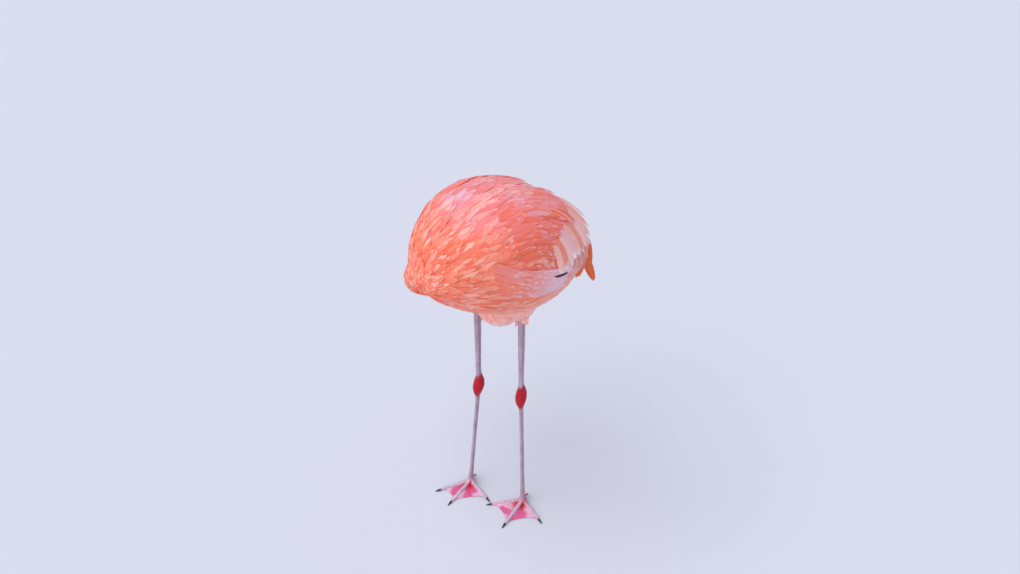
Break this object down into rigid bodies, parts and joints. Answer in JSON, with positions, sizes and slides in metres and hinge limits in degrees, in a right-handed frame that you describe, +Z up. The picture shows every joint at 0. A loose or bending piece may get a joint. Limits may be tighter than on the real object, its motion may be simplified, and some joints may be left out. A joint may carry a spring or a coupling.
{
  "type": "american flamingo",
  "caption": "American flamingo standing on both webbed feet, neck bent round to preen its right flank, as a still life-size bird.",
  "frame": {"origin": "on the ground, under the middle of the whole bird's box", "axes": "+Z up, the trunk heads along -Y, the bird's left is +X"},
  "size_m": [0.4486, 0.4368, 0.8014],
  "materials": {
    "body_feather": "soft matte contour feathers, salmon orange with pale pink edges",
    "wing_feather": "smooth wing coverts, orange with pink and lilac edges",
    "tertial_feather": "long loose tertials, saturated orange",
    "flight_feather": "black primaries, satin",
    "leg_skin": "mauve pink scaled leg skin",
    "ankle_skin": "crimson scaled skin over the ankle joint",
    "foot_skin": "pink webbed foot skin, crimson near the toe roots",
    "claw": "dark horn",
    "bill": "horn, pale pink at the base and black at the tip",
    "eye": "wet pale yellow iris with a black pupil"
  },
  "bodies": {
    "root": {"left_wing": "wing_feather", "left_primaries": "flight_feather", "left_tertials": "tertial_feather", "right_wing": "wing_feather", "right_primaries": "flight_feather", "right_tertials": "tertial_feather", "trunk": "body_feather", "tail": "body_feather", "neck_1": "body_feather", "neck_2": "body_feather", "neck_3": "body_feather", "neck_4": "body_feather", "neck_5": "body_feather", "left_eye": "eye", "right_eye": "eye", "head": "body_feather", "upper_bill": "bill", "lower_bill": "bill", "left_thigh": "body_feather", "left_shank": "leg_skin", "left_ankle": "ankle_skin", "left_tarsus": "leg_skin", "left_foot": "foot_skin", "left_claw_1": "claw", "left_claw_2": "claw", "left_claw_3": "claw", "left_claw_hind": "claw", "right_thigh": "body_feather", "right_shank": "leg_skin", "right_ankle": "ankle_skin", "right_tarsus": "leg_skin", "right_foot": "foot_skin", "right_claw_1": "claw", "right_claw_2": "claw", "right_claw_3": "claw", "right_claw_hind": "claw", "belly": "body_feather"}
  },
  "joints": []
}
